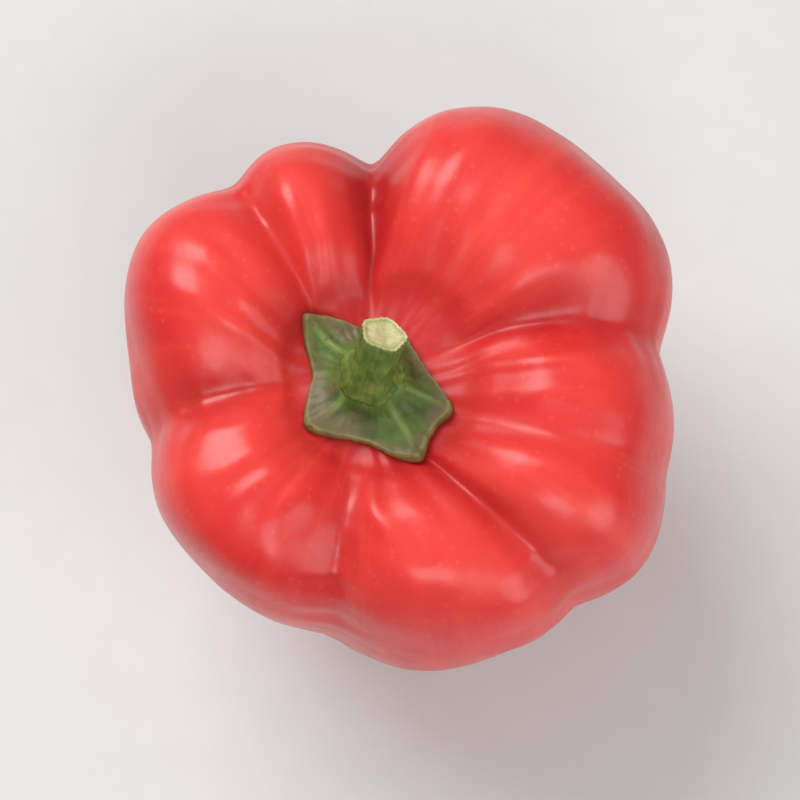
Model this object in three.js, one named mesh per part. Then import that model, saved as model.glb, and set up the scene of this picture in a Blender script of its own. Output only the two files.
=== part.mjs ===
// A ripe aji dulce pepper, as picked: a lobed red fruit that stands on the feet of its lobes,
// the green calyx in the hollow of its shoulders, and the short stub of its cut stem.
// Millimetres, +Z up along the fruit's axis. The finished pepper is centred on its bounding box,
// with the lowest feet on z = 0.
import * as THREE from "three";

// Driving dimensions
const FRUIT_RADIUS = 20.2; // axis to the skin at the widest ring, before furrows and swellings
const FRUIT_HEIGHT = 38; // feet to the tops of the shoulders
const CORE_SHARE = 0.5; // height of the core the skin swells and sinks from
const LEAN = new THREE.Vector2(2.4, 1); // how far the belly sits off the stem's axis
const SKIN_GAP = 0.35; // clear space between two organs that touch
const CALYX_THICKNESS = 1.15;
const CALYX_VALLEY_RADIUS = 4.1; // stem axis to the rim between two teeth
const CALYX_OFFSET = 0.55; // how much further than that it reaches on its wide side
const CALYX_WIDE_SIDE_DEG = 230;
const CALYX_TOOTH_SPAN_DEG = 36; // half the width of a tooth where it leaves the rim
const CALYX_TOOTH_TAPER = 1.5; // 1 gives straight-sided teeth, and more draws their tips out
const CALYX_THINNING = 0.4; // the part of its thickness that the blade loses towards the rim
const CALYX_EDGE_SHARE = 0.3; // height of the rim's edge, as a share of the thickness
const CALYX_CREASE_SHARE = 0.6; // how closely the calyx follows the furrows under it
const COLLAR_RISE = 1.3; // the calyx's middle, where it climbs to meet the stem
const COLLAR_RADIUS = 3.8; // where the collar runs out into the blade
const STEM_BASE_RADIUS = 1.75;
const STEM_WAIST_RADIUS = 1.35;
const STEM_CUT_RADIUS = 1.5;
const STEM_LENGTH = 4.9;
const STEM_UPRIGHT_SHARE = 0.3; // the part of the stem below its bend
const STEM_LEAN_DEG = 36; // the cut end tips this far from upright
const STEM_LEAN_TOWARDS_DEG = 62;
const STEM_RIDGES = 5;
const STEM_RIDGE_SHARE = 0.06; // how far a ridge stands out, as a share of the stem's radius

// Mesh density
const STEPS_PER_LOBE = 12;
const STEPS_PER_STATION = 3;
const CALYX_STEPS_AROUND = 60;
const CALYX_TOP_SHARES = [0.2, 0.4, 0.48, 0.56, 0.64, 0.72, 0.8, 0.9, 0.97]; // of the way to the rim
const CALYX_UNDERSIDE_SHARES = [0.97, 0.8, 0.6, 0.4, 0.2];
const STEM_STEPS_AROUND = 30;
const STEM_STEPS_ALONG = 8;

// The fruit's outline in half section, from the seat of the calyx out over the shoulder,
// down the side, and under to the blossom end. Radius and height are shares of the fruit's
// radius and height, and crease is the depth of a full furrow there, in millimetres.
const STATIONS = [
  { radius: 0, height: 0.87, crease: 0 }, // seat of the calyx
  { radius: 0.15, height: 0.873, crease: 0 },
  { radius: 0.29, height: 0.893, crease: 0.9 },
  { radius: 0.4, height: 0.945, crease: 2.6 }, // wall of the stem hollow
  { radius: 0.56, height: 0.993, crease: 3.9 }, // top of the shoulder
  { radius: 0.75, height: 0.985, crease: 3.9 },
  { radius: 0.9, height: 0.915, crease: 3.2 },
  { radius: 0.985, height: 0.79, crease: 2.6 },
  { radius: 1, height: 0.645, crease: 2.3 }, // widest ring
  { radius: 0.965, height: 0.5, crease: 2.2 },
  { radius: 0.88, height: 0.355, crease: 2.3 },
  { radius: 0.76, height: 0.215, crease: 2.6 },
  { radius: 0.61, height: 0.09, crease: 2.8 },
  { radius: 0.44, height: -0.012, crease: 2.6 }, // feet
  { radius: 0.29, height: 0.005, crease: 1.9 },
  { radius: 0.16, height: 0.075, crease: 0.9 },
  { radius: 0.06, height: 0.078, crease: 0.2 },
  { radius: 0, height: 0.055, crease: 0 }, // tip left by the flower
];
const HOLLOW_STATION = 2;
const SHOULDER_STATION = 4;
const WIDEST_STATION = 8;
const FOOT_STATION = 13;
const LAST_STATION = STATIONS.length - 1;

// Furrows between the lobes, counter-clockwise. Each wanders in azimuth from the stem end to
// the widest ring and on to the blossom end. Depths are shares of the full crease at the
// shoulder, at the widest ring and at the feet, and spread is the furrow's half width.
const FURROWS = [
  { azimuth: [24, 7, 16], depth: [1, 1, 0.9], spread: 13 },
  { azimuth: [97, 98, 84], depth: [1.15, 1.65, 1], spread: 12 },
  { azimuth: [134, 131, 118], depth: [0.7, 0.7, 0.2], spread: 10 },
  { azimuth: [184, 193, 176], depth: [1, 1, 0.95], spread: 14 },
  { azimuth: [252, 254, 246], depth: [0.9, 0.8, 0.65], spread: 14 },
  { azimuth: [301, 309, 322], depth: [0.95, 0.9, 1], spread: 11 },
  { azimuth: [334, 341, 346], depth: [0.55, 0.3, 0.1], spread: 9 },
];

const FURROW_ROUNDING = 0.25; // of a furrow's bottom, as a share of its spread

// Swellings of single lobes: where each is centred, how wide it is, and how far it stands out.
const SWELLINGS = [
  { azimuth: 66, station: 6.5, spread: 22, reach: 2.6, rise: 0.7 },
  { azimuth: 30, station: 6.8, spread: 18, reach: 2.6, rise: 1.7 },
  { azimuth: 120, station: 6.8, spread: 14, reach: 2.6, rise: 1.2 },
  { azimuth: 150, station: 6.5, spread: 20, reach: 2.6, rise: 1.3 },
  { azimuth: 283, station: 6.5, spread: 22, reach: 3, rise: -0.6 },
  { azimuth: 318, station: 7.5, spread: 20, reach: 2.8, rise: 1.4 },
  { azimuth: 353, station: 6, spread: 10, reach: 2, rise: -0.2 },
  { azimuth: 60, station: 4.6, spread: 26, reach: 1.2, rise: 0.6 },
  { azimuth: 225, station: 4.5, spread: 22, reach: 1.3, rise: -0.5 },
  { azimuth: 45, station: 9.3, spread: 20, reach: 1.4, rise: -0.6 },
  { azimuth: 215, station: 8.8, spread: 15, reach: 1.3, rise: -0.7 },
  { azimuth: 288, station: 9.8, spread: 16, reach: 1.5, rise: -0.5 },
  { azimuth: 150, station: 8.2, spread: 16, reach: 1.2, rise: 0.5 },
  { azimuth: 60, station: 11.5, spread: 22, reach: 1.3, rise: 0.7 },
  { azimuth: 352, station: 11.2, spread: 15, reach: 1.2, rise: -0.7 },
  { azimuth: 270, station: 12, spread: 20, reach: 1.3, rise: 0.8 },
  { azimuth: 120, station: 11, spread: 22, reach: 1.4, rise: -0.6 },
];

// Teeth of the calyx: where each points, and how far it reaches past the rim.
const TEETH = [
  { azimuth: -23, reach: 1.9 },
  { azimuth: 62, reach: 0.3 },
  { azimuth: 140, reach: 2.9 },
  { azimuth: 215, reach: 1.5 },
  { azimuth: 297, reach: 2.6 },
];

// Shallow waves of the whole skin: turns round the fruit, turns from end to end, phase, size.
const WAVES = [
  { around: 3, along: 1.4, phase: 0.6, size: 0.34 },
  { around: 5, along: 2.3, phase: 2.1, size: 0.22 },
  { around: 8, along: 3.1, phase: 4.0, size: 0.13 },
];

const radians = THREE.MathUtils.degToRad;
const smoothstep = THREE.MathUtils.smoothstep;

// Shortest way round from one azimuth to another, in degrees.
const turnBetween = (from, to) => THREE.MathUtils.euclideanModulo(to - from + 180, 360) - 180;

const outline = new THREE.SplineCurve(
  STATIONS.map((s) => new THREE.Vector2(s.radius * FRUIT_RADIUS, s.height * FRUIT_HEIGHT)),
);
const creaseLine = new THREE.SplineCurve(STATIONS.map((s, i) => new THREE.Vector2(i, s.crease)));

// The half section at a station, with its outward normal.
function sectionAt(station) {
  const share = station / LAST_STATION;
  const nudge = 1e-3;
  const before = outline.getPoint(Math.max(share - nudge, 0));
  const after = outline.getPoint(Math.min(share + nudge, 1));
  const along = after.sub(before).normalize();
  return { point: outline.getPoint(share), normal: new THREE.Vector2(-along.y, along.x) };
}

// A value given at the shoulder, the widest ring and the feet, eased between them.
function easedAlong(values, station) {
  const [atShoulder, atWidest, atFeet] = values;
  const down = smoothstep(station, HOLLOW_STATION, WIDEST_STATION);
  const under = smoothstep(station, WIDEST_STATION, FOOT_STATION);
  return atShoulder + (atWidest - atShoulder) * down + (atFeet - atWidest) * under;
}

// How far the skin sinks at a furrow: a rounded V that fades into the lobes on both sides.
function furrowSink(furrow, azimuth, station) {
  const away = turnBetween(easedAlong(furrow.azimuth, station), azimuth) / furrow.spread;
  const valley = Math.exp(FURROW_ROUNDING - Math.hypot(away, FURROW_ROUNDING));
  return valley * easedAlong(furrow.depth, station);
}

function swellingRise(swelling, azimuth, station) {
  const round = turnBetween(swelling.azimuth, azimuth) / swelling.spread;
  const along = (station - swelling.station) / swelling.reach;
  return swelling.rise * Math.exp(-round * round - along * along);
}

// Full at mid-height and nothing at both poles.
const fadeAtPoles = (station) => Math.sin((Math.PI * station) / LAST_STATION) ** 2;

function waveRise(wave, azimuth, station) {
  const along = (2 * Math.PI * wave.along * station) / LAST_STATION;
  const ripple = Math.sin(wave.around * radians(azimuth) + along + wave.phase);
  return wave.size * fadeAtPoles(station) * ripple;
}

// The fruit's skin at an azimuth in degrees and a station. The plain section swells and sinks
// straight away from a core on the axis, so that no part of the skin can fold over another.
function skinPoint(azimuth, station, creaseShare = 1, lift = 0) {
  const { point, normal } = sectionAt(station);
  const crease = creaseLine.getPoint(station / LAST_STATION).y * creaseShare;
  const sunk = FURROWS.reduce((sum, f) => sum + furrowSink(f, azimuth, station), 0);
  const swell = SWELLINGS.reduce((sum, s) => sum + swellingRise(s, azimuth, station), 0);
  const wave = WAVES.reduce((sum, w) => sum + waveRise(w, azimuth, station), 0);
  const core = new THREE.Vector2(0, CORE_SHARE * FRUIT_HEIGHT);
  const outwards = point.clone().sub(core).normalize();
  point.addScaledVector(outwards, swell + wave - crease * sunk);
  point.addScaledVector(normal, lift);
  return new THREE.Vector3(
    point.x * Math.cos(radians(azimuth)) + LEAN.x * fadeAtPoles(station),
    point.x * Math.sin(radians(azimuth)) + LEAN.y * fadeAtPoles(station),
    Math.max(point.y, 0),
  );
}

// A closed skin over rings of points, from a first pole to a last pole. Rings run
// counter-clockwise seen from the first pole.
function closedSkin(firstPole, rings, lastPole) {
  const count = rings[0].length;
  const points = [firstPole, ...rings.flat(), lastPole];
  const faces = [];
  const at = (ring, step) => 1 + ring * count + (step % count);
  for (let step = 0; step < count; step++) {
    faces.push(0, at(0, step), at(0, step + 1));
    for (let ring = 0; ring + 1 < rings.length; ring++) {
      faces.push(at(ring, step), at(ring + 1, step), at(ring + 1, step + 1));
      faces.push(at(ring, step), at(ring + 1, step + 1), at(ring, step + 1));
    }
    faces.push(points.length - 1, at(rings.length - 1, step + 1), at(rings.length - 1, step));
  }
  const geometry = new THREE.BufferGeometry().setFromPoints(points);
  geometry.setIndex(faces);
  geometry.computeVertexNormals();
  return geometry;
}

// Azimuths round the fruit at a station: every lobe has the same number of steps, so that
// a line of the mesh follows each furrow from end to end.
function lobeAzimuths(station) {
  const azimuths = [];
  FURROWS.forEach((furrow, i) => {
    const next = FURROWS[(i + 1) % FURROWS.length];
    const from = easedAlong(furrow.azimuth, station);
    const width = THREE.MathUtils.euclideanModulo(easedAlong(next.azimuth, station) - from, 360);
    for (let step = 0; step < STEPS_PER_LOBE; step++) {
      azimuths.push(from + (width * step) / STEPS_PER_LOBE);
    }
  });
  return azimuths;
}

function fruitGeometry() {
  const rings = [];
  for (let i = 1; i < LAST_STATION * STEPS_PER_STATION; i++) {
    const station = i / STEPS_PER_STATION;
    rings.push(lobeAzimuths(station).map((azimuth) => skinPoint(azimuth, station)));
  }
  return closedSkin(skinPoint(0, 0), rings, skinPoint(0, LAST_STATION));
}

// The station where the plain outline of the stem hollow reaches a radius, found by halving.
function stationAtRadius(radius) {
  const closeEnough = 1e-8;
  let low = 0;
  let high = SHOULDER_STATION;
  while (high - low > closeEnough) {
    const middle = (low + high) / 2;
    if (sectionAt(middle).point.x < radius) low = middle;
    else high = middle;
  }
  return low;
}

// How far a tooth stands out of the calyx's rim at an azimuth: it narrows to a point.
function toothReach(tooth, azimuth) {
  const away = Math.abs(turnBetween(tooth.azimuth, azimuth)) / CALYX_TOOTH_SPAN_DEG;
  return tooth.reach * Math.max(1 - away, 0) ** CALYX_TOOTH_TAPER;
}

// Radius of the calyx's rim at an azimuth.
function rimRadius(azimuth) {
  const offset = CALYX_OFFSET * Math.cos(radians(azimuth - CALYX_WIDE_SIDE_DEG));
  const teeth = TEETH.reduce((sum, tooth) => sum + toothReach(tooth, azimuth), 0);
  return CALYX_VALLEY_RADIUS + offset + teeth;
}

// A point of the calyx: out is the share of the way to the rim, and lift the height over
// the calyx's underside.
function calyxPoint(azimuth, out, lift) {
  const station = stationAtRadius(rimRadius(azimuth) * out);
  return skinPoint(azimuth, station, CALYX_CREASE_SHARE, SKIN_GAP + lift);
}

// How high the top of the calyx stands over its underside: a blade that thins to the rim,
// and in the middle a collar round the foot of the stem.
function calyxHeight(azimuth, out) {
  const blade = CALYX_THICKNESS * (1 - CALYX_THINNING * out * out);
  const radius = out * rimRadius(azimuth);
  return blade + COLLAR_RISE * (1 - smoothstep(radius, STEM_BASE_RADIUS, COLLAR_RADIUS));
}

function calyxGeometry() {
  const azimuths = [];
  for (let step = 0; step < CALYX_STEPS_AROUND; step++) {
    azimuths.push((360 * step) / CALYX_STEPS_AROUND);
  }
  const top = CALYX_TOP_SHARES.map((out) =>
    azimuths.map((azimuth) => calyxPoint(azimuth, out, calyxHeight(azimuth, out))),
  );
  const edgeHeight = CALYX_THICKNESS * CALYX_EDGE_SHARE;
  const edge = azimuths.map((azimuth) => calyxPoint(azimuth, 1, edgeHeight));
  const underside = CALYX_UNDERSIDE_SHARES.map((out) =>
    azimuths.map((azimuth) => calyxPoint(azimuth, out, 0)),
  );
  const middleOfTop = calyxPoint(0, 0, calyxHeight(0, 0));
  return closedSkin(middleOfTop, [...top, edge, ...underside], calyxPoint(0, 0, 0));
}

// The stem's middle line: it rises straight from the collar and bends over towards its lean.
function stemLine() {
  const foot = calyxPoint(0, 0, calyxHeight(0, 0) + SKIN_GAP);
  const towards = radians(STEM_LEAN_TOWARDS_DEG);
  const tilt = radians(STEM_LEAN_DEG);
  const leaning = new THREE.Vector3(
    Math.cos(towards) * Math.sin(tilt),
    Math.sin(towards) * Math.sin(tilt),
    Math.cos(tilt),
  );
  const upright = STEM_LENGTH * STEM_UPRIGHT_SHARE;
  const bend = foot.clone().add(new THREE.Vector3(0, 0, upright));
  const end = bend.clone().addScaledVector(leaning, STEM_LENGTH - upright);
  return new THREE.QuadraticBezierCurve3(foot, bend, end);
}

function stemRadius(share) {
  const flareBelow = (STEM_BASE_RADIUS - STEM_WAIST_RADIUS) * (1 - share) ** 3;
  const flareAbove = (STEM_CUT_RADIUS - STEM_WAIST_RADIUS) * share ** 2;
  return STEM_WAIST_RADIUS + flareBelow + flareAbove;
}

function stemGeometry() {
  const line = stemLine();
  const rings = [];
  for (let i = 0; i <= STEM_STEPS_ALONG; i++) {
    const share = i / STEM_STEPS_ALONG;
    const centre = line.getPoint(share);
    const upright = new THREE.Vector3(0, 0, 1);
    const turned = new THREE.Quaternion().setFromUnitVectors(upright, line.getTangent(share));
    const ring = Array.from({ length: STEM_STEPS_AROUND }, (_, step) => {
      const angle = (2 * Math.PI * step) / STEM_STEPS_AROUND;
      const ridge = 1 + STEM_RIDGE_SHARE * Math.cos(STEM_RIDGES * angle);
      const across = stemRadius(share) * ridge;
      const spoke = new THREE.Vector3(Math.cos(angle) * across, Math.sin(angle) * across, 0);
      return spoke.applyQuaternion(turned).add(centre);
    });
    rings.unshift(ring);
  }
  return closedSkin(line.getPoint(1), rings, line.getPoint(0));
}

// Finishes
const ripeRed = new THREE.MeshStandardMaterial({ color: "#d8201c", roughness: 0.28, metalness: 0 });
const calyxGreen = new THREE.MeshStandardMaterial({
  color: "#4a6b22",
  roughness: 0.55,
  metalness: 0,
});
const stemGreen = new THREE.MeshStandardMaterial({
  color: "#6c8a35",
  roughness: 0.6,
  metalness: 0,
});

function organ(name, geometry, material) {
  const mesh = new THREE.Mesh(geometry, material);
  mesh.name = name;
  return mesh;
}

const pepper = new THREE.Group();
pepper.add(organ("fruit", fruitGeometry(), ripeRed));
pepper.add(organ("calyx", calyxGeometry(), calyxGreen));
pepper.add(organ("stem", stemGeometry(), stemGreen));

// Centre the pepper on its bounding box, with the feet on z = 0.
const bounds = new THREE.Box3().setFromObject(pepper, true);
const middle = bounds.getCenter(new THREE.Vector3());
pepper.children.forEach((mesh) => mesh.position.set(-middle.x, -middle.y, -bounds.min.z));

export default pepper;
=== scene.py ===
# %% [markdown]
# # A ripe aji dulce pepper
#
# This lesson builds one small sweet pepper: a lobed red fruit, the green calyx that sits in the
# hollow of its shoulders, and the stub of its cut stem. The construction model already says how
# big each of the three is and where it sits. Here they get their skin, wrinkles and colour.

import math

import bpy
import numpy as np
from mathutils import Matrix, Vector, noise


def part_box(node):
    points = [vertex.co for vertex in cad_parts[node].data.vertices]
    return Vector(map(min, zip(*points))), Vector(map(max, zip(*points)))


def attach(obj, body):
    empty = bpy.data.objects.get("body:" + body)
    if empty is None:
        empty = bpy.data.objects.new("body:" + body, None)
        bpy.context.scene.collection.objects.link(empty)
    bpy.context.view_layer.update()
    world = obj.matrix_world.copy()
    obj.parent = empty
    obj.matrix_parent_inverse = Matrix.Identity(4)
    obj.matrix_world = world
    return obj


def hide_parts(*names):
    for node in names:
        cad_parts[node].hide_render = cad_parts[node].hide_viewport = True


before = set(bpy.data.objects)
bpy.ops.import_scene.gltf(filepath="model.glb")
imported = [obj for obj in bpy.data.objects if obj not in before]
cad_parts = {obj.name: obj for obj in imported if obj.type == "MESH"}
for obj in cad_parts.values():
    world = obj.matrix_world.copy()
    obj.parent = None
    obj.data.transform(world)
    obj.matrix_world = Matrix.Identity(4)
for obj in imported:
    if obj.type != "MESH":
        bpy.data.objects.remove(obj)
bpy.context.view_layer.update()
MM = 0.001
FRUIT_LOW, FRUIT_HIGH = (np.array(corner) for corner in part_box("fruit"))
print("fruit", np.round((FRUIT_HIGH - FRUIT_LOW) / MM, 2), "mm across and high")

# %% [markdown]
# ## The outline of the fruit
#
# A pepper grows round one axis, so its shape starts from a half section: a line that runs from the
# seat of the calyx out over the shoulder, down the side, and under to the tip where the flower
# was. A lathe would spin that line, but a lathe gives a vase. Here the line is only the start, and
# furrows and swellings are laid over it. Each row holds a share of the radius, a share of the
# height, and how deep a full furrow is at that place, in millimetres. A row is called a station.

# %% The half section
RADIUS = 20.2 * MM  # axis to the skin at the widest ring, before furrows and swellings
HEIGHT = 38.0 * MM  # feet to the tops of the shoulders
STATIONS = np.array(
    [
        (0.0, 0.87, 0.0),  # seat of the calyx
        (0.15, 0.873, 0.0),
        (0.29, 0.893, 0.9),
        (0.4, 0.945, 2.6),  # wall of the stem hollow
        (0.56, 0.993, 3.9),  # top of the shoulder
        (0.75, 0.985, 3.9),
        (0.9, 0.915, 3.2),
        (0.985, 0.79, 2.6),
        (1.0, 0.645, 2.3),  # widest ring
        (0.965, 0.5, 2.2),
        (0.88, 0.355, 2.3),
        (0.76, 0.215, 2.6),
        (0.61, 0.09, 2.8),
        (0.44, -0.012, 2.6),  # feet
        (0.29, 0.005, 1.9),
        (0.16, 0.075, 0.9),
        (0.06, 0.078, 0.2),
        (0.0, 0.055, 0.0),  # tip left by the flower
    ]
)
HOLLOW_STATION = 2
SHOULDER_STATION = 4
WIDEST_STATION = 8
FOOT_STATION = 13
LAST_STATION = len(STATIONS) - 1
print("the half section has", len(STATIONS), "stations")

# %% [markdown]
# ## Reading a value between two stations
#
# The stations are far apart, and straight lines between them would show as rings round the fruit.
# A Catmull-Rom curve passes through every station and bends smoothly between them. The same
# function reads the radius, the height and the furrow depth. Two more helpers are used all the way
# down: an easy rise from 0 to 1, and a soft hill for whatever is strongest at one place.

# %% A smooth curve through the stations
def along_stations(values, station):
    """The value at any station, whole or between two, on a smooth curve through them all."""
    last = len(values) - 1
    before = np.minimum(np.floor(station).astype(int), last - 1)
    part = station - before
    start, end = values[before], values[before + 1]
    leaving = (end - values[np.maximum(before - 1, 0)]) / 2
    arriving = (values[np.minimum(before + 2, last)] - start) / 2
    cubic = 2 * start - 2 * end + leaving + arriving
    square = 3 * end - 3 * start - 2 * leaving - arriving
    return ((cubic * part + square) * part + leaving) * part + start


def smooth_step(value, low, high):
    """0 below low, 1 above high, and an easy rise between them."""
    share = np.clip((value - low) / (high - low), 0, 1)
    return share * share * (3 - 2 * share)


def soft_hill(value, centre, spread):
    """1 at the centre, falling off smoothly to nothing about two spreads away."""
    return np.exp(-(((value - centre) / spread) ** 2))


halfway = along_stations(STATIONS[:, 0], np.array([WIDEST_STATION + 0.5]))[0]
print("half a station below the widest ring the radius is", round(halfway * RADIUS / MM, 2), "mm")

# %% [markdown]
# ## Furrows between the lobes
#
# The walls inside a pepper hold the skin back, and the flesh swells between them, which makes the
# furrows. No furrow runs straight. Each one is given three azimuths, at the shoulder, at the
# widest ring and at the feet, and it eases from one to the next. It also has three depths, as
# shares of the station's full depth, and a spread in degrees that says how wide it is.

# %% The furrows
FURROWS = (
    ((24, 7, 16), (1.0, 1.0, 0.9), 13),
    ((97, 98, 84), (1.15, 1.65, 1.0), 12),
    ((134, 131, 118), (0.7, 0.7, 0.2), 10),
    ((184, 193, 176), (1.0, 1.0, 0.95), 14),
    ((252, 254, 246), (0.9, 0.8, 0.65), 14),
    ((301, 309, 322), (0.95, 0.9, 1.0), 11),
    ((334, 341, 346), (0.55, 0.3, 0.1), 9),
)
FURROW_ROUNDING = 0.25  # of a furrow's bottom, as a share of its spread


def eased(values, station):
    """A value given at the shoulder, the widest ring and the feet, eased between them."""
    at_shoulder, at_widest, at_feet = values
    down = smooth_step(station, HOLLOW_STATION, WIDEST_STATION)
    under = smooth_step(station, WIDEST_STATION, FOOT_STATION)
    return at_shoulder + (at_widest - at_shoulder) * down + (at_feet - at_widest) * under


def turn_between(start, end):
    """The shortest way round from one azimuth to another, in degrees."""
    return (end - start + 180) % 360 - 180


def furrow_depth(azimuth, station):
    """How deep the skin is sunk by all furrows together, as a share of a full furrow."""
    depth = 0
    for azimuths, depths, spread in FURROWS:
        away = turn_between(eased(azimuths, station), azimuth) / spread
        valley = np.exp(FURROW_ROUNDING - np.hypot(away, FURROW_ROUNDING))
        depth = depth + valley * eased(depths, station)
    return depth


print("the fruit has", len(FURROWS), "lobes")

# %% [markdown]
# ## Swellings and dents
#
# Lobes aren't alike. Some lean out, some are pinched, and a fruit that grew against a leaf keeps a
# dent. Each row is one soft bump: its azimuth, its station, how wide it is in degrees and in
# stations, and how far it stands out in millimetres. A bump with a minus sign is a dent. A few
# long waves over the whole skin keep any two sides from matching.

# %% The swellings and the waves
SWELLINGS = (
    (66, 6.5, 22, 2.6, 0.7),
    (30, 6.8, 18, 2.6, 1.7),
    (120, 6.8, 14, 2.6, 1.2),
    (150, 6.5, 20, 2.6, 1.3),
    (283, 6.5, 22, 3.0, -0.6),
    (318, 7.5, 20, 2.8, 1.4),
    (353, 6.0, 10, 2.0, -0.2),
    (60, 4.6, 26, 1.2, 0.6),
    (225, 4.5, 22, 1.3, -0.5),
    (45, 9.3, 20, 1.4, -0.6),
    (215, 8.8, 15, 1.3, -0.7),
    (288, 9.8, 16, 1.5, -0.5),
    (150, 8.2, 16, 1.2, 0.5),
    (60, 11.5, 22, 1.3, 0.7),
    (352, 11.2, 15, 1.2, -0.7),
    (270, 12.0, 20, 1.3, 0.8),
    (120, 11.0, 22, 1.4, -0.6),
)
WAVES = ((3, 1.4, 0.6, 0.34), (5, 2.3, 2.1, 0.22), (8, 3.1, 4.0, 0.13))


def fade_at_poles(station):
    """Full at mid-height and nothing at both ends of the half section."""
    return np.sin(np.pi * station / LAST_STATION) ** 2


def swelling(azimuth, station):
    """How far the skin stands out, in metres."""
    rise = 0
    for place, centre, spread, reach, size in SWELLINGS:
        around = turn_between(place, azimuth) / spread
        rise = rise + size * np.exp(-(around**2) - ((station - centre) / reach) ** 2)
    for around, along, phase, size in WAVES:
        turns = around * np.radians(azimuth) + 2 * np.pi * along * station / LAST_STATION
        rise = rise + size * fade_at_poles(station) * np.sin(turns + phase)
    return rise * MM


print("the deepest dent is", min(row[-1] for row in SWELLINGS), "mm")

# %% [markdown]
# ## Fine relief
#
# Close up, the skin has more than lobes. It is gathered in pleats round the calyx, faint ribs run
# from end to end, the flanks of the furrows are puckered across, and soft dents lie everywhere.
# Noise gives all of these: it is read at points that are stretched along the fruit for the ribs,
# and squeezed along it for the puckers. This is real relief in the mesh, so it bends the outline
# and the highlights, as it does on a pepper in the hand.

# %% The relief of the skin
def noise_at(points):
    """Smooth noise between about -1 and 1 at each point of an array."""
    flat = points.reshape(-1, 3)
    return np.array([noise.noise(Vector(point)) for point in flat]).reshape(points.shape[:-1])


def around_and_along(azimuth, station, around_scale, along_scale, shift):
    """Points for noise that closes on itself round the fruit.

    The scales say how closely it changes round the fruit and along it, and the shift gives
    every use of it a part of the noise to itself.
    """
    angle = np.radians(azimuth)
    level = np.broadcast_to(station * along_scale, angle.shape)
    ring = [np.cos(angle) * around_scale, np.sin(angle) * around_scale, level]
    return np.stack(ring, -1) + shift


PLEATS_AROUND = 26
PLEAT_SIZE = 0.24 * MM
PLEAT_STATION = 3.3  # where the pleats are deepest
PLEAT_REACH = 1.6  # stations
PLEAT_SWAY = 4  # radians that the noise pushes a pleat sideways
RIB_SIZE = 0.13 * MM
RIB_FIELD = 72  # azimuth of the lobe whose ribs stand out most
RIB_FIELD_SPREAD = 26  # degrees
RIB_FIELD_STATION = 4.8
RIB_FIELD_REACH = 1.7  # stations
RIB_FIELD_GAIN = 2.2  # how much stronger the ribs are there
PUCKER_SIZE = 0.30 * MM
DENT_SIZE = 0.62 * MM
RIPPLE_SIZE = 0.16 * MM


def fine_relief(azimuth, station, depth):
    """Pleats, ribs, puckers and dents, in metres outward."""
    sway = noise_at(around_and_along(azimuth, station, 2.0, 0.5, 11.0))
    pleats = np.sin(np.radians(azimuth) * PLEATS_AROUND + PLEAT_SWAY * sway)
    pleats = pleats * soft_hill(station, PLEAT_STATION, PLEAT_REACH) * (0.75 + 0.6 * sway)
    ribs = noise_at(around_and_along(azimuth, station, 6.0, 0.16, 3.0))
    ribs = ribs * smooth_step(station, 2.2, 4.0)
    near_rib_field = soft_hill(turn_between(RIB_FIELD, azimuth), 0, RIB_FIELD_SPREAD)
    on_the_shoulder = soft_hill(station, RIB_FIELD_STATION, RIB_FIELD_REACH)
    ribs = ribs * (1 + RIB_FIELD_GAIN * near_rib_field * on_the_shoulder)
    puckers = noise_at(around_and_along(azimuth, station, 2.2, 2.6, 7.0))
    puckers = puckers * smooth_step(depth, 0.35, 1.0) * smooth_step(station, 3.5, 6.0)
    dents = noise_at(around_and_along(azimuth, station, 1.5, 0.6, 19.0))
    ripples = noise_at(around_and_along(azimuth, station, 3.6, 1.3, 23.0))
    relief = PLEAT_SIZE * pleats + RIB_SIZE * ribs + PUCKER_SIZE * puckers
    relief = relief + (DENT_SIZE * dents + RIPPLE_SIZE * ripples) * smooth_step(station, 2.0, 5.0)
    return relief * fade_at_poles(np.clip(station, 0, LAST_STATION)) ** 0.25


once_round = np.arange(0.0, 360.0, 3.0)
shoulder_ring = np.full_like(once_round, SHOULDER_STATION)
sample = fine_relief(once_round, shoulder_ring, furrow_depth(once_round, shoulder_ring)) / MM
print("relief on the shoulder from", round(sample.min(), 2), "to", round(sample.max(), 2), "mm")

# %% [markdown]
# ## The skin as one function
#
# Everything so far meets here. The plain section is pushed away from a core point inside the
# fruit, or pulled towards it. Because every push is straight away from the same point, the skin
# can't fold over itself, even deep in a furrow. The belly also sits a little to one side of the
# stem's axis, and the feet are flattened where they stand.

# %% The skin at any azimuth and station
CORE_HEIGHT = 0.5 * HEIGHT
LEAN = np.array([2.4, 1.0]) * MM  # how far the belly sits off the stem's axis
NUDGE = 0.01  # of a station, for reading the slope of the section


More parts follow.
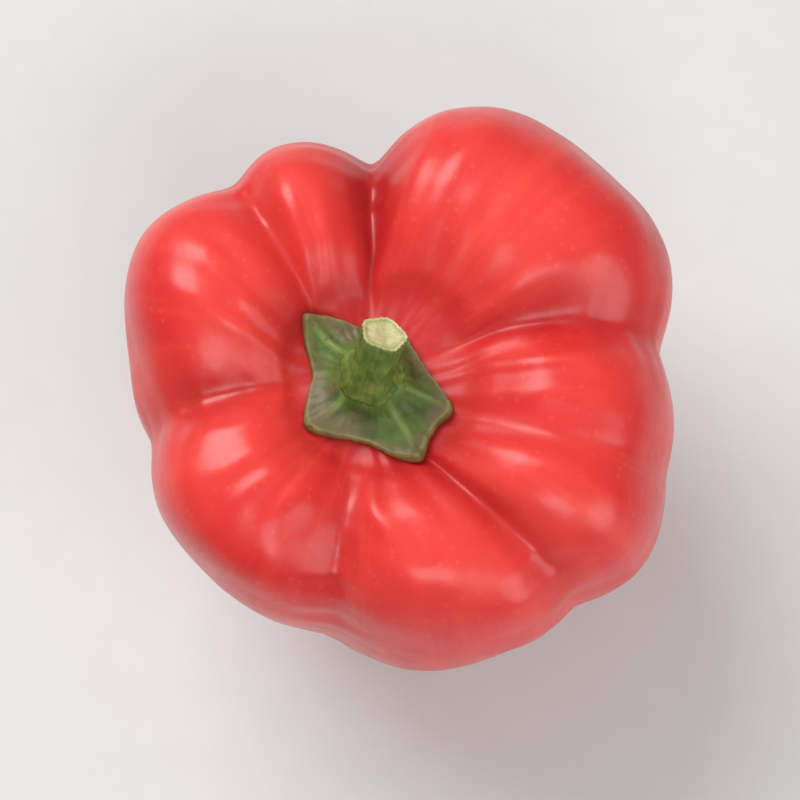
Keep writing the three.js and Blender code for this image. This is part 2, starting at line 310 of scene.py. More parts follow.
def skin(azimuth, station, crease_share=1.0, relief_share=1.0, lift=0.0):
    """Points on the skin in metres, and how far the furrows have sunk them."""
    azimuth, station = np.broadcast_arrays(np.asarray(azimuth, float), np.asarray(station, float))
    radius = along_stations(STATIONS[:, 0], station) * RADIUS
    height = along_stations(STATIONS[:, 1], station) * HEIGHT
    depth = furrow_depth(azimuth, station)
    sunk = along_stations(STATIONS[:, 2], station) * MM * depth
    push = swelling(azimuth, station) - sunk * crease_share
    push = push + relief_share * fine_relief(azimuth, station, depth)
    from_core = np.hypot(radius, height - CORE_HEIGHT)
    beyond = np.minimum(station + NUDGE, LAST_STATION)
    step_out = along_stations(STATIONS[:, 0], beyond) * RADIUS - radius
    step_up = along_stations(STATIONS[:, 1], beyond) * HEIGHT - height
    step = np.maximum(np.hypot(step_out, step_up), 1e-12)
    out = radius + radius * push / from_core - lift * step_up / step
    up = height + (height - CORE_HEIGHT) * push / from_core + lift * step_out / step
    side_x = out * np.cos(np.radians(azimuth)) + LEAN[0] * fade_at_poles(station)
    side_y = out * np.sin(np.radians(azimuth)) + LEAN[1] * fade_at_poles(station)
    return np.stack([side_x, side_y, np.maximum(up, 0)], -1), sunk


widest_point = skin(0.0, float(WIDEST_STATION))[0]
print("on the widest ring, towards +X, the skin is at", np.round(widest_point / MM, 2), "mm")

# %% [markdown]
# ## Closing a skin over rings
#
# Fruit, calyx and stem are all built the same way: rings of points from one pole to the other,
# joined by four-sided faces, with a fan of triangles at each pole. One function does it for all
# three, and hands back a smooth mesh.

# %% A closed mesh over rings of points
def closed_mesh(name, first_pole, rings, last_pole):
    """A smooth closed mesh. Rings run counter-clockwise seen from the first pole."""
    ring_count, steps = rings.shape[:2]
    points = np.concatenate([first_pole[None], rings.reshape(-1, 3), last_pole[None]])
    index = 1 + np.arange(ring_count * steps).reshape(ring_count, steps)
    following = np.roll(index, -1, axis=1)
    quads = np.stack([index[:-1], index[1:], following[1:], following[:-1]], -1)
    faces = quads.reshape(-1, 4).tolist()
    faces += [(0, a, b) for a, b in zip(index[0].tolist(), following[0].tolist())]
    tip = len(points) - 1
    faces += [(tip, b, a) for a, b in zip(index[-1].tolist(), following[-1].tolist())]
    mesh = bpy.data.meshes.new(name)
    mesh.from_pydata(points.tolist(), [], faces)
    mesh.shade_smooth()
    piece = bpy.data.objects.new(name, mesh)
    bpy.context.scene.collection.objects.link(piece)
    print(name, "has", 2 * len(quads.reshape(-1, 4)) + 2 * steps, "triangles")
    return piece


def paint(piece, name, values, poles=(0.0, 0.0)):
    """Stores one number for each point of the mesh, for the material to read."""
    attribute = piece.data.attributes.new(name, "FLOAT", "POINT")
    numbers = np.concatenate([[poles[0]], values.ravel(), [poles[1]]])
    attribute.data.foreach_set("value", numbers.astype(np.float32))


print("10 rings of 60 points close to", 2 * 10 * 60, "triangles")

# %% [markdown]
# ## The fruit
#
# The mesh's columns follow the furrows: every lobe gets the same number of columns, however wide
# it is, so one column always runs along the bottom of each furrow and keeps it crisp. The rows are
# even steps from station to station. The finished skin is then fitted to the box of the fruit in
# the construction model, so the two can't drift apart.

# %% Build the fruit
STEPS_PER_LOBE = 52
STEPS_PER_STATION = 12


def lobe_azimuths(station):
    """Columns of azimuth for each station, the same number in every lobe."""
    columns = []
    for i, (azimuths, _, _) in enumerate(FURROWS):
        start = eased(azimuths, station)
        width = (eased(FURROWS[(i + 1) % len(FURROWS)][0], station) - start) % 360
        columns += [start + width * step / STEPS_PER_LOBE for step in range(STEPS_PER_LOBE)]
    return np.stack(columns, 1)


stations = np.arange(1, LAST_STATION * STEPS_PER_STATION) / STEPS_PER_STATION
azimuths = lobe_azimuths(stations)
raw_skin, raw_sunk = skin(azimuths, stations[:, None])
raw_low = raw_skin.reshape(-1, 3).min(0)
raw_high = raw_skin.reshape(-1, 3).max(0)
FIT_MARGIN = 0.02 * MM
FIT_SCALE = (FRUIT_HIGH - FRUIT_LOW - 2 * FIT_MARGIN) / (raw_high - raw_low)
FIT_MIDDLE = (FRUIT_HIGH + FRUIT_LOW) / 2


def fitted(points):
    """Moves points from the formula's own place into the fruit's box."""
    return (points - (raw_low + raw_high) / 2) * FIT_SCALE + FIT_MIDDLE


top_pole = fitted(skin(0.0, 0.0)[0])
bottom_pole = fitted(skin(0.0, float(LAST_STATION))[0])
fruit = closed_mesh("pepper_fruit", top_pole, fitted(raw_skin), bottom_pole)
paint(fruit, "furrow", raw_sunk / raw_sunk.max())
paint(fruit, "station", np.broadcast_to(stations[:, None], azimuths.shape), (0, LAST_STATION))
paint(fruit, "ring_x", np.cos(np.radians(azimuths)))
paint(fruit, "ring_y", np.sin(np.radians(azimuths)))
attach(fruit, "root")
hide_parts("fruit")
print("fit scale", np.round(FIT_SCALE, 4))

# %% [markdown]
# ## The calyx
#
# The calyx is what is left of the flower's green cup. It lies on the hollow of the shoulders like
# a small star with uneven teeth. Two functions describe it. One gives the rim: a ring that reaches
# further on one side, with a blunt tooth wherever the table asks for one, a little ragged. The other
# gives the height of the top over the underside: a blade that thins towards the rim, a vein to each
# tooth, and a collar that climbs to the stem, with a fine crease where the two meet.

# %% The rim and the height of the calyx
VALLEY_RADIUS = 4.1 * MM  # stem axis to the rim between two teeth
OFFSET = 0.55 * MM  # how much further than that it reaches on its wide side
WIDE_SIDE = 230  # azimuth
TOOTH_SPAN = 36  # degrees from the middle of a tooth to where it leaves the rim
TEETH = ((-23, 1.9), (62, 0.3), (140, 2.9), (215, 1.5), (297, 2.6))  # azimuth, reach in mm
TOOTH_BLUNTNESS = 0.10  # of a tooth's tip, as a share of its span
TOOTH_TAPER = 1.9
RAGGED_SIZE = 0.22 * MM
NIBBLE_SIZE = 0.07 * MM
BLADE_THICKNESS = 1.15 * MM
BLADE_THINNING = 0.55  # the part of its thickness that the blade loses towards the rim
COLLAR_RISE = 1.3 * MM
COLLAR_TOP_RADIUS = 1.7 * MM
COLLAR_RADIUS = 4.0 * MM
COLLAR_STEEPNESS = 1.5  # above 1 it drops fast beside the stem and runs out flat
PINCH_RADIUS = 1.95 * MM  # the crease that rings the foot of the stem
PINCH_SPREAD = 0.18 * MM
PINCH_DEPTH = 0.10 * MM
VEIN_HEIGHT = 0.15 * MM
VEIN_SPREAD = 5.0  # degrees
VEIN_WANDER = 3.0  # degrees
VEIN_RISES = (0.2, 0.55)  # between these shares of the way to the rim
VEIN_FADES = (0.88, 1.0)
BUMP_HEIGHT = 0.16 * MM
GRAIN_HEIGHT = 0.10 * MM
GRAIN_RISES = (0.35, 0.6)
CREASE_SHARE = 0.6  # how closely the calyx follows the furrows under it
SKIN_GAP = 0.35 * MM


def rim_radius(azimuth):
    """Stem axis to the rim of the calyx: each tooth narrows to a blunt point."""
    reach = OFFSET * np.cos(np.radians(azimuth - WIDE_SIDE))
    for place, size in TEETH:
        away = np.abs(turn_between(place, azimuth)) / TOOTH_SPAN
        blunt = np.hypot(away, TOOTH_BLUNTNESS) - TOOTH_BLUNTNESS
        reach = reach + size * MM * np.maximum(1 - blunt, 0) ** TOOTH_TAPER
    level = np.zeros_like(azimuth)
    ragged = noise_at(around_and_along(azimuth, level, 3.0, 1.0, 31.0))
    nibbled = noise_at(around_and_along(azimuth, level, 9.0, 1.0, 37.0))
    return VALLEY_RADIUS + reach + RAGGED_SIZE * ragged + NIBBLE_SIZE * nibbled


def station_at_radius(radius):
    """The station where the plain wall of the hollow reaches a radius."""
    samples = np.linspace(0, SHOULDER_STATION, 400)
    return np.interp(radius, along_stations(STATIONS[:, 0], samples) * RADIUS, samples)


def vein_share(azimuth, out):
    """1 along the middle of each tooth, fading to both sides."""
    share = np.zeros_like(azimuth)
    for place, _ in TEETH:
        wander = VEIN_WANDER * np.sin(out * 5 + place)
        narrowing = 0.2 + 1.4 * out  # one width takes fewer degrees further out
        away = (turn_between(place, azimuth) + wander) * narrowing
        share = np.maximum(share, soft_hill(away, 0, VEIN_SPREAD))
    return share * smooth_step(out, *VEIN_RISES) * (1 - smooth_step(out, *VEIN_FADES))


def calyx_height(azimuth, out):
    """How high the top of the calyx stands over its underside."""
    blade = BLADE_THICKNESS * (1 - BLADE_THINNING * out * out)
    radius = out * rim_radius(azimuth)
    falling = 1 - smooth_step(radius, COLLAR_TOP_RADIUS, COLLAR_RADIUS)
    collar = COLLAR_RISE * falling**COLLAR_STEEPNESS
    pinch = PINCH_DEPTH * soft_hill(radius, PINCH_RADIUS, PINCH_SPREAD)
    veins = VEIN_HEIGHT * vein_share(azimuth, out)
    bumps = noise_at(around_and_along(azimuth, out * 4, 2.0, 1.0, 41.0))
    grain = noise_at(around_and_along(azimuth, out * 3, 9.0, 1.0, 43.0))
    grain = grain * smooth_step(out, *GRAIN_RISES)
    return blade + collar - pinch + veins + BUMP_HEIGHT * bumps + GRAIN_HEIGHT * grain


rim_radii = rim_radius(once_round) / MM
print("nearest rim", round(rim_radii.min(), 1), "mm and furthest", round(rim_radii.max(), 1), "mm")

# %% [markdown]
# ## Building the calyx on the skin
#
# Each ring of the calyx is a share of the way to the rim. The fruit's own skin function places it,
# so the calyx follows the furrows under it and can't hover or cut in. The rings run from the middle
# of the top outwards, turn over a rounded rim, and come back along the underside.

# %% Build the calyx
CALYX_STEPS = 300
CALYX_RELIEF = 0.4  # how closely the calyx follows the fine relief under it
RIM_SEATING = 0.12 * MM  # the clear space under its rim
INNER_SEATING = 0.3 * RIM_SEATING
RIM_ZONE = 0.9  # share of the way to the rim where the rim's clear space starts
LIP_START = 0.985  # share of the way to the rim where the top starts to turn over
LIP_DROP = 0.275 * MM
TOP_SHARES = np.concatenate([np.linspace(0.03, 0.9, 44), np.linspace(0.915, LIP_START, 6)])
LIP_TURNS = np.radians(np.linspace(10, 90, 6))
UNDERSIDE_SHARES = (LIP_START, 0.94, 0.88, 0.8, 0.65, 0.45, 0.25)
calyx_azimuths = np.arange(CALYX_STEPS) * 360 / CALYX_STEPS


def calyx_ring(out, lift):
    """One ring of the calyx, at a share of the way to the rim."""
    station = station_at_radius(rim_radius(calyx_azimuths) * out)
    height = np.broadcast_to(lift, CALYX_STEPS)
    return fitted(skin(calyx_azimuths, station, CREASE_SHARE, CALYX_RELIEF, height)[0])


def calyx_pole(lift):
    """The middle of the calyx, at a height over the skin."""
    return fitted(skin(0.0, 0.0, CREASE_SHARE, CALYX_RELIEF, lift)[0])


rings, shares = [], []
for out in TOP_SHARES:
    lift = SKIN_GAP + calyx_height(calyx_azimuths, np.full(CALYX_STEPS, out))
    rings.append(calyx_ring(out, lift))
    shares.append(np.full(CALYX_STEPS, out))
for turn in LIP_TURNS:
    lift_turning = lift - (1 - math.cos(turn)) * LIP_DROP
    rings.append(calyx_ring(LIP_START + (1 - LIP_START) * math.sin(turn), lift_turning))
    shares.append(np.ones(CALYX_STEPS))
for out in UNDERSIDE_SHARES:
    rings.append(calyx_ring(out, RIM_SEATING if out > RIM_ZONE else INNER_SEATING))
    shares.append(np.ones(CALYX_STEPS))
middle_lift = SKIN_GAP + float(calyx_height(np.zeros(1), np.zeros(1))[0])
calyx_top = calyx_pole(middle_lift)
calyx = closed_mesh("pepper_calyx", calyx_top, np.stack(rings), calyx_pole(0.0))
paint(calyx, "out", np.stack(shares), (0, 0))
paint(calyx, "vein", np.stack([vein_share(calyx_azimuths, row) for row in shares]))
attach(calyx, "root")
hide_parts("calyx")

# %% [markdown]
# ## The stem
#
# The stem is a stub, cut off just above the shoulders. It rises from the collar, bends over, and
# widens at both ends. A tube swept along a curve object would do, but here the middle line and the
# thickness are two short functions, because the ridges and the cut face are added ring by ring.

# %% The line and the thickness of the stem
STEM_LENGTH = 4.9 * MM
STEM_UPRIGHT_SHARE = 0.3  # the part of the stem below its bend
STEM_LEAN = math.radians(36)
STEM_LEAN_TOWARDS = math.radians(62)
STEM_FOOT_RADIUS = 2.12 * MM
STEM_WAIST_RADIUS = 1.32 * MM
STEM_CUT_RADIUS = 1.5 * MM
STEM_SUNK = 0.55 * MM  # how far the foot of the stem reaches into the collar
leaning = np.array(
    [
        math.cos(STEM_LEAN_TOWARDS) * math.sin(STEM_LEAN),
        math.sin(STEM_LEAN_TOWARDS) * math.sin(STEM_LEAN),
        math.cos(STEM_LEAN),
    ]
)
stem_foot = calyx_top + np.array([0, 0, SKIN_GAP - STEM_SUNK])
stem_bend = stem_foot + np.array([0, 0, STEM_LENGTH * STEM_UPRIGHT_SHARE + STEM_SUNK - SKIN_GAP])
stem_end = stem_bend + leaning * STEM_LENGTH * (1 - STEM_UPRIGHT_SHARE)


def stem_line(share):
    """The point and the direction of the stem's middle line at a share of its length."""
    point = (1 - share) ** 2 * stem_foot + 2 * share * (1 - share) * stem_bend + share**2 * stem_end
    heading = (1 - share) * (stem_bend - stem_foot) + share * (stem_end - stem_bend)
    return point, heading / np.linalg.norm(heading)


def stem_radius(share):
    """A waist between a flared foot and a slightly wider cut end."""
    foot_flare = (STEM_FOOT_RADIUS - STEM_WAIST_RADIUS) * (1 - share) ** 4
    end_flare = (STEM_CUT_RADIUS - STEM_WAIST_RADIUS) * share**2
    return STEM_WAIST_RADIUS + foot_flare + end_flare


print("the stem ends", np.round(stem_end / MM, 2), "mm from the origin")

# %% [markdown]
# ## Ridges and a cut face
#
# Five ridges run up the stem, one for each tooth of the calyx, with finer grooves between them. The
# cut face isn't flat: the knife leaves a raised rim, the pith in the middle dries and sinks, and
# the edge is a little ragged. The rings start in the middle of the cut, go out to its rim, and run
# down the stem into the collar.

# %% Build the stem
STEM_STEPS = 120
STEM_RIDGES = 5
STEM_GROOVES = 23
RIDGE_SHARE = 0.06  # of the stem's radius
GROOVE_SHARE = 0.02
GRAIN_SHARE = 0.03
stem_angles = np.arange(STEM_STEPS) * 2 * np.pi / STEM_STEPS


def stem_ring(share, radius_share=1.0, raise_by=0.0):
    """One ring across the stem, with its ridges and grooves."""
    point, heading = stem_line(share)
    turned = Vector((0, 0, 1)).rotation_difference(Vector(heading)).to_matrix()
    degrees = np.degrees(stem_angles)
    grain = noise_at(around_and_along(degrees, np.full(STEM_STEPS, share * 3), 3.0, 1.0, 53.0))
    shape = 1 + RIDGE_SHARE * np.cos(STEM_RIDGES * stem_angles)
    shape = shape + GROOVE_SHARE * np.cos(STEM_GROOVES * stem_angles + 2 * grain)
    radius = stem_radius(share) * (shape + GRAIN_SHARE * grain) * radius_share
    flat = np.stack([np.cos(stem_angles) * radius, np.sin(stem_angles) * radius, 0 * radius], -1)
    flat[:, 2] += raise_by
    return flat @ np.array(turned).T + point


BEVEL = 0.06 * MM
DISH_DEPTH = 0.28 * MM
RAGGED_CUT = 0.05 * MM
RIND_RING = 0.82  # of the radius, where the darker ring lies in the cut face
RIND_RING_SPREAD = 0.06
RIND_RING_DARKNESS = 0.45
CUT_EDGE = ((0.975, 0.02, 0.8), (0.995, 0.08, 0.3), (1.0, 0.18, 0.0))  # radius, mm down, paleness
CUT_FACE_SHARES = np.linspace(0.08, 0.94, 22)
STEM_SIDE_SHARES = np.linspace(0.95, 0.0, 44)
ragged = noise_at(around_and_along(np.degrees(stem_angles), 0 * stem_angles, 2.5, 1, 61.0))
stem_rings, cut_share = [], []
for radius_share in CUT_FACE_SHARES:
    dish = RAGGED_CUT * ragged * radius_share - DISH_DEPTH * (1 - radius_share**2)
    stem_rings.append(stem_ring(1.0, radius_share, dish - BEVEL))
    dark_ring = RIND_RING_DARKNESS * soft_hill(radius_share, RIND_RING, RIND_RING_SPREAD)
    cut_share.append(np.full(STEM_STEPS, 1 - dark_ring))
for radius_share, drop, pale_share in CUT_EDGE:
    stem_rings.append(stem_ring(1.0, radius_share, RAGGED_CUT * ragged - drop * MM - BEVEL))
    cut_share.append(np.full(STEM_STEPS, pale_share))
for share in STEM_SIDE_SHARES:
    stem_rings.append(stem_ring(share))
    cut_share.append(np.zeros(STEM_STEPS))
cut_middle = stem_end - leaning * (DISH_DEPTH + BEVEL)
stem = closed_mesh("pepper_stem", cut_middle, np.stack(stem_rings), stem_foot)
paint(stem, "cut", np.stack(cut_share), (1.0, 0.0))
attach(stem, "root")
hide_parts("stem")

# %% [markdown]
# ## A small kit for materials
#
# Every finish below is a Principled shader fed by noise and by the numbers painted on the mesh.
# These helpers add a node and wire it in one line, which keeps the recipes short enough to read.

# %% Helpers for node materials
class Recipe:
    """One node material and the short calls that build it."""

    def __init__(self, name, **constants):
        self.material = bpy.data.materials.new(name)
        self.material.use_nodes = True
        self.nodes = self.material.node_tree.nodes
        self.links = self.material.node_tree.links
        self.shader = self.nodes["Principled BSDF"]
        for socket, value in constants.items():
            self.shader.inputs[socket.replace("_", " ")].default_value = value

    def wire(self, source, target):
        """Joins an output socket to an input socket."""
        self.links.new(source, target)

    def painted(self, name):
        """A number painted on the mesh."""
        node = self.nodes.new("ShaderNodeAttribute")
        node.attribute_name = name
        return node.outputs["Fac"]

    def place(self):
        """The point on the piece, in metres."""
        return self.nodes.new("ShaderNodeTexCoord").outputs["Object"]

    def vector(self, x, y, z):
        """Three numbers as one point."""
        node = self.nodes.new("ShaderNodeCombineXYZ")
        for socket, value in zip(node.inputs, (x, y, z)):
            self.wire(value, socket)
        return node.outputs[0]

    def math(self, kind, a, b=0.0):
        """One sum or product of sockets or numbers."""
        node = self.nodes.new("ShaderNodeMath")
        node.operation = kind
        for socket, value in zip(node.inputs, (a, b)):
            if isinstance(value, (int, float)):
                socket.default_value = value
            else:
                self.wire(value, socket)
        return node.outputs[0]

    def noise(self, place, scale, detail=4.0, roughness=0.5):
        """Cloudy noise. A scale of 500 gives clouds about 2 mm wide."""
        node = self.nodes.new("ShaderNodeTexNoise")
        node.inputs["Scale"].default_value = scale
        node.inputs["Detail"].default_value = detail
        node.inputs["Roughness"].default_value = roughness
        self.wire(place, node.inputs["Vector"])
        return node.outputs["Fac"]

    def spots(self, place, scale):
        """Distance to the nearest of many scattered points, in shares of their spacing."""
        node = self.nodes.new("ShaderNodeTexVoronoi")
        node.inputs["Scale"].default_value = scale
        self.wire(place, node.inputs["Vector"])
        return node.outputs["Distance"]

    def between(self, value, low, high, out_low=0.0, out_high=1.0):
        """A value eased from one range into another, and held outside it."""
        node = self.nodes.new("ShaderNodeMapRange")
        node.interpolation_type = "SMOOTHSTEP"
        numbers = (low, high, out_low, out_high)
        for name, number in zip(("From Min", "From Max", "To Min", "To Max"), numbers):
            node.inputs[name].default_value = number
        self.wire(value, node.inputs["Value"])
        return node.outputs["Result"]

    def mix(self, share, a, b):
        """Two colours mixed: all of a at share 0, all of b at share 1."""
        node = self.nodes.new("ShaderNodeMix")
        node.data_type = "RGBA"
        self.wire(share, node.inputs["Factor"])
        for socket, colour in ((node.inputs[6], a), (node.inputs[7], b)):
            if isinstance(colour, tuple):
                socket.default_value = (*colour, 1)
            else:
                self.wire(colour, socket)
        return node.outputs[2]

    def bump(self, height, distance, strength=1.0):
        """Relief too fine for the mesh, by tilting the light's normal."""
        node = self.nodes.new("ShaderNodeBump")
        node.inputs["Distance"].default_value = distance
        node.inputs["Strength"].default_value = strength
        self.wire(height, node.inputs["Height"])
        self.wire(node.outputs["Normal"], self.shader.inputs["Normal"])

    def dress(self, piece):
        """Gives the finished material to a piece."""
        piece.data.materials.append(self.material)
        print(self.material.name, "has", len(self.nodes), "nodes")


print("a recipe can", ", ".join(name for name in vars(Recipe) if not name.startswith("_")))

# %% [markdown]
# ## The red skin
#
# Ripe pepper skin is a strong red under a clear layer of wax. Light goes a little way into the
# flesh and comes back redder, so a touch of subsurface keeps the lobes from looking painted. What
# is the same all over the skin is set straight on the shader.

# %% The wax and the flesh under it
FLESH_DEPTH = 0.0016  # metres that light goes into the flesh
red = Recipe(
    "ripe_red_skin",
    Coat_Weight=0.12,
    Coat_Roughness=0.24,
    Coat_IOR=1.4,
    IOR=1.42,
    Subsurface_Weight=0.14,
    Subsurface_Scale=FLESH_DEPTH,
    Subsurface_Radius=(1.0, 0.22, 0.12),
)
skin_place = red.place()
print("light goes", round(FLESH_DEPTH / MM, 1), "mm into the flesh")

# %% [markdown]
# ## The reds
#
# The red isn't even. It drifts between two reds in clouds about a centimetre wide. Faint lighter
# streaks run from end to end, as the ribs do: their noise is read at points that turn fast round
# the fruit and change slowly along it. Pale specks are scattered over that. Then painted shade
# darkens the red in the furrows and in the hollow round the calyx, where less light reaches. The
# order of the mixes matters, because each one covers a little of those before it.

# %% The colour of the skin
CLOUD_REDS = ((0.60, 0.019, 0.020), (0.73, 0.046, 0.036))
STREAK_RED = (0.84, 0.075, 0.045)
SPECK_ORANGE = (0.86, 0.16, 0.09)
# The last two reds are painted shade: a darker red for the furrows and for the hollow round the
# calyx.
FURROW_SHADE_RED = (0.30, 0.004, 0.008)
HOLLOW_SHADE_RED = (0.40, 0.006, 0.008)
STREAKS_AROUND = 9.0
STREAKS_ALONG = 0.22
streak_place = red.vector(
    red.math("MULTIPLY", red.painted("ring_x"), STREAKS_AROUND),
    red.math("MULTIPLY", red.painted("ring_y"), STREAKS_AROUND),
    red.math("MULTIPLY", red.painted("station"), STREAKS_ALONG),
)
clouds = red.noise(skin_place, 90.0, 3.0)
streaks = red.noise(streak_place, 1.0, 5.0, 0.6)
skin_red = red.mix(red.between(clouds, 0.3, 0.7), *CLOUD_REDS)
streak_share = red.between(streaks, 0.45, 0.8, 0.0, 0.5)
fewer_below = red.between(red.painted("station"), 7, 12, 1, 0.3)
skin_red = red.mix(red.math("MULTIPLY", streak_share, fewer_below), skin_red, STREAK_RED)
specks = red.between(red.spots(skin_place, 1150.0), 0.0, 0.28, 0.22, 0.0)
skin_red = red.mix(specks, skin_red, SPECK_ORANGE)
# Painted shade: the red darkens towards the bottom of each furrow.
painted_furrow_shade = red.between(red.painted("furrow"), 0.2, 1.0, 0.0, 0.75)
skin_red = red.mix(painted_furrow_shade, skin_red, FURROW_SHADE_RED)
# Painted shade: the red darkens in the hollow round the calyx, where the shoulders shade it.
painted_hollow_shade = red.between(red.painted("station"), 1.5, 4.0, 0.55, 0.0)
skin_red = red.mix(painted_hollow_shade, skin_red, HOLLOW_SHADE_RED)
red.wire(skin_red, red.shader.inputs["Base Color"])
print("the skin's colour is", len(red.nodes), "nodes so far")

# %% [markdown]
# ## The gloss
#
# Wax wears unevenly, so the shine is smeared: a little sharper here, a little duller there, and
# dullest in the hollow round the stem. Roughness stays above about 0.28 all over, because where it
# went lower the denoised render drew faint lines in the highlights. A faint bump breaks them up.

# %% The gloss of the skin
SHARPEST, DULLEST = 0.285, 0.35  # roughness
HOLLOW_DULLNESS = 0.16  # roughness added near the calyx
smear = red.noise(skin_place, 260.0, 3.0)
dull_hollow = red.between(red.painted("station"), 2.5, 4.5, HOLLOW_DULLNESS, 0.0)
skin_roughness = red.math("ADD", red.between(smear, 0.3, 0.7, SHARPEST, DULLEST), dull_hollow)
red.wire(skin_roughness, red.shader.inputs["Roughness"])
red.bump(red.noise(skin_place, 620.0, 2.0, 0.35), 0.00012, 0.45)
red.dress(fruit)

# %% [markdown]
# ## The green of the calyx
#
# The calyx is fleshy and dull beside the shiny fruit. It is freshest near the stem, olive further
# out, and brown where it is worn and dry. The veins and parts of the rim are paler. Each of these is
# one mix laid over the last, steered by a painted number or by noise.

# %% The calyx's material
LEAF_GREENS = ((0.034, 0.066, 0.012), (0.100, 0.160, 0.028))
YOUNG_GREEN = (0.115, 0.245, 0.028)
VEIN_GREEN = (0.21, 0.29, 0.07)
WORN_BROWN = (0.150, 0.104, 0.052)
RIM_STRAW = (0.30, 0.31, 0.08)
FLECK_BROWN = (0.12, 0.075, 0.025)
green = Recipe("calyx_green", IOR=1.4, Subsurface_Weight=0.05, Subsurface_Scale=0.0008)
leaf_place = green.place()
leaf = green.mix(green.between(green.noise(leaf_place, 420.0, 5.0), 0.3, 0.7), *LEAF_GREENS)
young = green.between(green.painted("out"), 0.3, 0.62, 0.6, 0.0)
leaf = green.mix(young, leaf, YOUNG_GREEN)
veins = green.between(green.painted("vein"), 0.1, 1.0, 0.0, 0.6)
leaf = green.mix(veins, leaf, VEIN_GREEN)
worn = green.math("MULTIPLY", green.painted("out"), green.noise(leaf_place, 330.0, 3.0))
leaf = green.mix(green.between(worn, 0.29, 0.50, 0.0, 0.82), leaf, WORN_BROWN)
rim = green.between(green.painted("out"), 0.93, 1.0, 0.0, 0.5)
broken = green.between(green.noise(leaf_place, 700.0), 0.35, 0.65, 0.3, 1.0)
leaf = green.mix(green.math("MULTIPLY", rim, broken), leaf, RIM_STRAW)
flecks = green.between(green.noise(leaf_place, 1500.0, 2.0), 0.62, 0.72, 0.0, 0.6)
leaf = green.mix(flecks, leaf, FLECK_BROWN)
green.wire(leaf, green.shader.inputs["Base Color"])
dullness = green.between(green.noise(leaf_place, 600.0), 0.3, 0.7, 0.42, 0.62)
green.wire(dullness, green.shader.inputs["Roughness"])
green.bump(green.noise(leaf_place, 2200.0, 4.0), 0.00008, 0.7)
green.dress(calyx)

# %% [markdown]
# ## The stem and its cut face
#
# One material covers both. The rind is a streaky green like the middle of the calyx. The cut face
# is pale and dry, and the number painted on it fades out over the rim and in a ring under the rind,
# where the green shows through.

# %% The stem's material
RIND_GREENS = ((0.066, 0.128, 0.018), (0.170, 0.250, 0.046))
PITH_CREAMS = ((0.44, 0.41, 0.18), (0.64, 0.58, 0.33))
stalk = Recipe("stem_green", IOR=1.4, Subsurface_Weight=0.06, Subsurface_Scale=0.0008)
stalk_place = stalk.place()
rind = stalk.mix(stalk.between(stalk.noise(stalk_place, 700.0, 5.0), 0.35, 0.7), *RIND_GREENS)
pith = stalk.mix(stalk.between(stalk.noise(stalk_place, 1300.0, 4.0), 0.35, 0.7), *PITH_CREAMS)
stalk_colour = stalk.mix(stalk.painted("cut"), rind, pith)
stalk.wire(stalk_colour, stalk.shader.inputs["Base Color"])
stalk_rough = stalk.between(stalk.noise(stalk_place, 900.0), 0.3, 0.7, 0.5, 0.7)
stalk.wire(stalk_rough, stalk.shader.inputs["Roughness"])
stalk.bump(stalk.noise(stalk_place, 2600.0, 4.0), 0.00007, 0.7)
stalk.dress(stem)

# %% [markdown]
# ## The stage
#
# The pepper stands on a pale floor that curves up into a wall all round, as a photographer's paper
# sweep does, so that no edge shows behind it. The sweep is a half section again, a line of radii
# and heights that is turned round the middle.

# %% The floor
FLOOR_RADIUS = 0.40
SWEEP_RADIUS = 0.30
WALL_TOP = 0.60
sweep = [(FLOOR_RADIUS * share, 0.0) for share in np.linspace(0.1, 1.0, 10)]
for turn in np.radians(np.linspace(6, 90, 15)):
    bend_out = SWEEP_RADIUS * math.sin(turn)
    sweep.append((FLOOR_RADIUS + bend_out, SWEEP_RADIUS * (1 - math.cos(turn))))
sweep.append((FLOOR_RADIUS + SWEEP_RADIUS, WALL_TOP))
FLOOR_STEPS = 96
floor_points, floor_faces = [(0.0, 0.0, 0.0)], []
for radius, height in sweep:
    for angle in np.arange(FLOOR_STEPS) * 2 * np.pi / FLOOR_STEPS:
        floor_points.append((radius * math.cos(angle), radius * math.sin(angle), height))
for step in range(FLOOR_STEPS):
    beside = (step + 1) % FLOOR_STEPS
    floor_faces.append((0, 1 + step, 1 + beside))
    for ring in range(len(sweep) - 1):
        inner, outer = 1 + ring * FLOOR_STEPS, 1 + (ring + 1) * FLOOR_STEPS
        floor_faces.append((inner + step, outer + step, outer + beside, inner + beside))
floor_mesh = bpy.data.meshes.new("floor")
floor_mesh.from_pydata(floor_points, [], floor_faces)
floor_mesh.shade_smooth()
floor = bpy.data.objects.new("floor", floor_mesh)
bpy.context.scene.collection.objects.link(floor)
PAPER_GREYS = ((0.615, 0.615, 0.61), (0.625, 0.625, 0.62))
paper = Recipe("floor_paper", Roughness=0.85)
paper_grain = paper.between(paper.noise(paper.place(), 300.0), 0.3, 0.7, 0.0, 1.0)
paper.wire(paper.mix(paper_grain, *PAPER_GREYS), paper.shader.inputs["Base Color"])
paper.dress(floor)
print("the floor is flat for", FLOOR_RADIUS, "m round the pepper")

# %% [markdown]
# ## Lights and sky
#
# A glossy thing shows its lights as highlights, so their size and place matter more than their
# strength. A large soft light at the upper left gives the shape, a wide low one at the lower right
# lays pale patches on the outer lobes, and a small one in front picks out the ribs in the hollow. An
# even grey sky fills the shadows. Each light is given its place and its width in metres, and its
# power in watts.

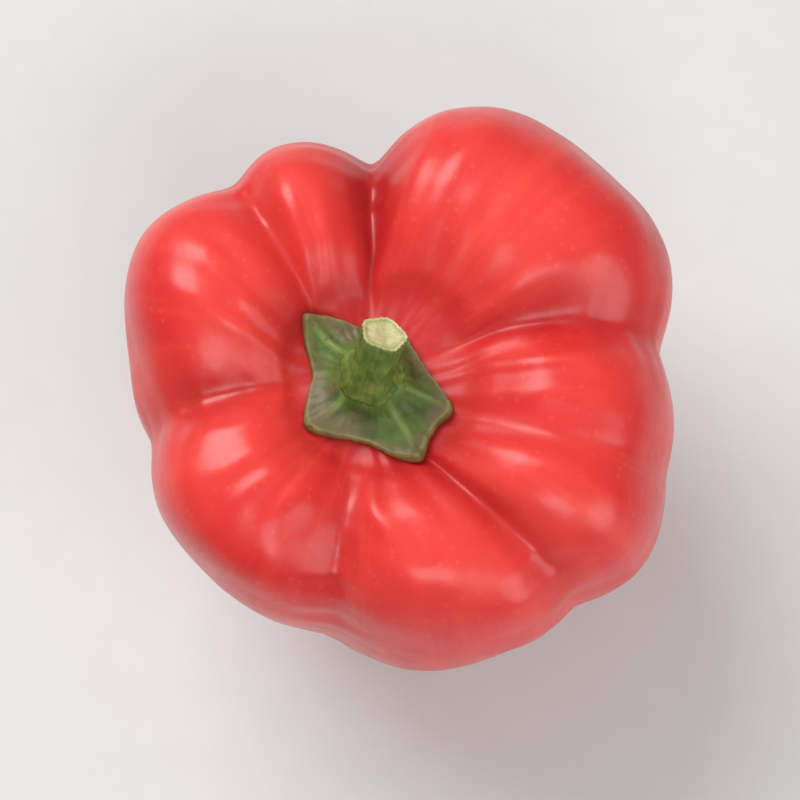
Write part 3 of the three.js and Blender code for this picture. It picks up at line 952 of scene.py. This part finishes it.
# %% Lights and sky
def softbox(name, place, size, power, target):
    """A round light panel that faces its target."""
    panel = bpy.data.lights.new(name, "AREA")
    panel.shape = "DISK"
    panel.size = size
    panel.energy = power
    lamp = bpy.data.objects.new(name, panel)
    bpy.context.scene.collection.objects.link(lamp)
    lamp.location = place
    lamp.rotation_euler = (Vector(target) - Vector(place)).to_track_quat("-Z", "Y").to_euler()
    print(name, "light is", round(size, 2), "m wide")


SKY_STRENGTH = 0.46
pepper_middle = Vector((0, 0, float(FRUIT_HIGH[2]) * 0.5))
softbox("key", (-0.12, 0.15, 0.24), 0.22, 0.82, pepper_middle)
softbox("fill", (0.24, -0.19, 0.17), 0.26, 0.48, pepper_middle)
softbox("front", (0.02, -0.18, 0.25), 0.13, 0.20, pepper_middle)
sky = bpy.data.worlds.new("studio")
bpy.context.scene.world = sky
sky.use_nodes = True
sky.node_tree.nodes["Background"].inputs["Color"].default_value = (1, 1, 1, 1)
sky.node_tree.nodes["Background"].inputs["Strength"].default_value = SKY_STRENGTH
bpy.context.scene.view_settings.view_transform = "Standard"

# %% [markdown]
# ## The camera
#
# The camera looks down on the stem end, from a little in front, through a long lens that keeps the
# lobes in true proportion.

# %% The camera
VIEW_ELEVATION = math.radians(78)
FRAME_WIDTH = 0.0575  # metres across the picture, at the pepper
LENS = 100  # mm
AIM_SHARE = 0.6  # of the fruit's height, where the camera points
camera_data = bpy.data.cameras.new("camera")
camera_data.lens = LENS
camera = bpy.data.objects.new("camera", camera_data)
bpy.context.scene.collection.objects.link(camera)
bpy.context.scene.camera = camera
towards_camera = Vector((0, -math.cos(VIEW_ELEVATION), math.sin(VIEW_ELEVATION)))
camera_distance = FRAME_WIDTH * camera_data.lens / camera_data.sensor_width
look_at = Vector((0, 0, float(FRUIT_HIGH[2]) * AIM_SHARE))
camera.location = look_at + towards_camera * camera_distance
camera.rotation_euler = (-towards_camera).to_track_quat("-Z", "Y").to_euler()
print("camera", round(camera_distance, 3), "m from the pepper")

# %% [markdown]
